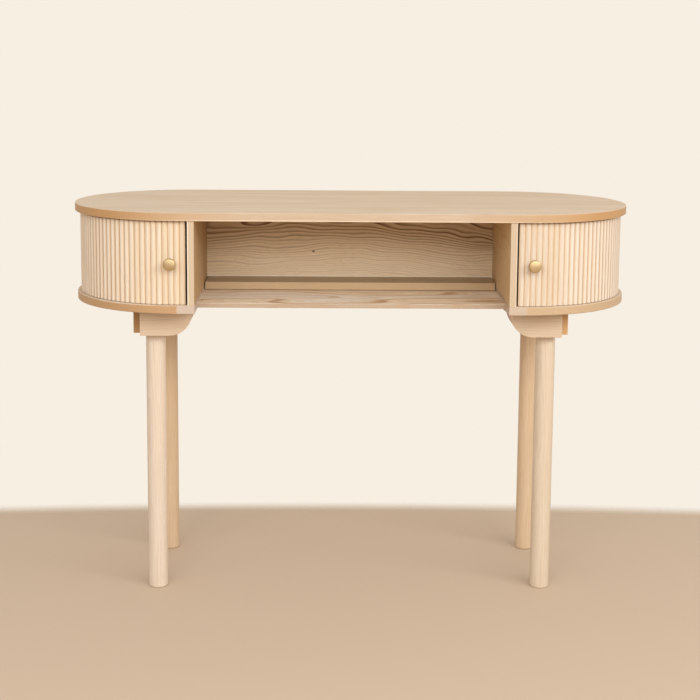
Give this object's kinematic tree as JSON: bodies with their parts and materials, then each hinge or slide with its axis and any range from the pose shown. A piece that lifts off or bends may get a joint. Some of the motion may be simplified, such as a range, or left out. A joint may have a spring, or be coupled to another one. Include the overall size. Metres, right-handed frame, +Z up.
{
  "type": "tambour desk",
  "caption": "Writing desk with a stadium-shaped wooden top, a slatted tambour cabinet at each rounded end, an open middle bay and round dowel legs.",
  "frame": {"origin": "on the floor, under the middle of the desk top", "axes": "+X to the right along the desk's length, +Y from the sitter's side towards the back, +Z up"},
  "size_m": [1.1, 0.4497, 0.76],
  "materials": {
    "ash_board": "matt lacquered pale ash",
    "ash_slat": "matt lacquered pale ash",
    "ash_leg": "matt lacquered pale ash",
    "beech_dowel": "raw fluted beech",
    "cotton_canvas": "plain woven cotton",
    "satin_brass": "satin brushed",
    "zinc_steel": "zinc plated"
  },
  "bodies": {
    "carcass": {"back_panel": "ash_board", "back_panel_dowels": "beech_dowel", "back_panel_screws": "zinc_steel", "bay_shelf": "ash_board", "block_screws": "zinc_steel", "desk_top": "ash_board", "ledge_screws": "zinc_steel", "left_bottom_board": "ash_board", "left_front_leg": "ash_leg", "left_front_leg_block": "ash_leg", "left_inner_panel": "ash_board", "left_rear_leg": "ash_leg", "left_rear_leg_block": "ash_leg", "left_rear_wall": "ash_board", "left_side_rail": "ash_leg", "leg_bolts": "zinc_steel", "leg_inserts": "zinc_steel", "panel_dowels": "beech_dowel", "rail_dowels": "beech_dowel", "rear_ledge": "ash_board", "right_bottom_board": "ash_board", "right_front_leg": "ash_leg", "right_front_leg_block": "ash_leg", "right_inner_panel": "ash_board", "right_rear_leg": "ash_leg", "right_rear_leg_block": "ash_leg", "right_rear_wall": "ash_board", "right_side_rail": "ash_leg", "shelf_dowels": "beech_dowel"},
    "left_tambour": {"left_tambour_slats": "ash_slat", "left_tambour_canvas": "cotton_canvas", "left_knob": "satin_brass", "left_knob_washer": "satin_brass", "left_knob_screw": "zinc_steel"},
    "right_tambour": {"right_tambour_slats": "ash_slat", "right_tambour_canvas": "cotton_canvas", "right_knob": "satin_brass", "right_knob_washer": "satin_brass", "right_knob_screw": "zinc_steel"}
  },
  "joints": [
    {"name": "left_tambour_slide", "type": "hinge", "parent": "carcass", "child": "left_tambour", "pos_m": [-0.33, 0, 0.664], "axis": [0, 0, -1], "range_deg": [0, 87]},
    {"name": "right_tambour_slide", "type": "hinge", "parent": "carcass", "child": "right_tambour", "pos_m": [0.33, 0, 0.664], "axis": [0, 0, 1], "range_deg": [0, 87]}
  ]
}
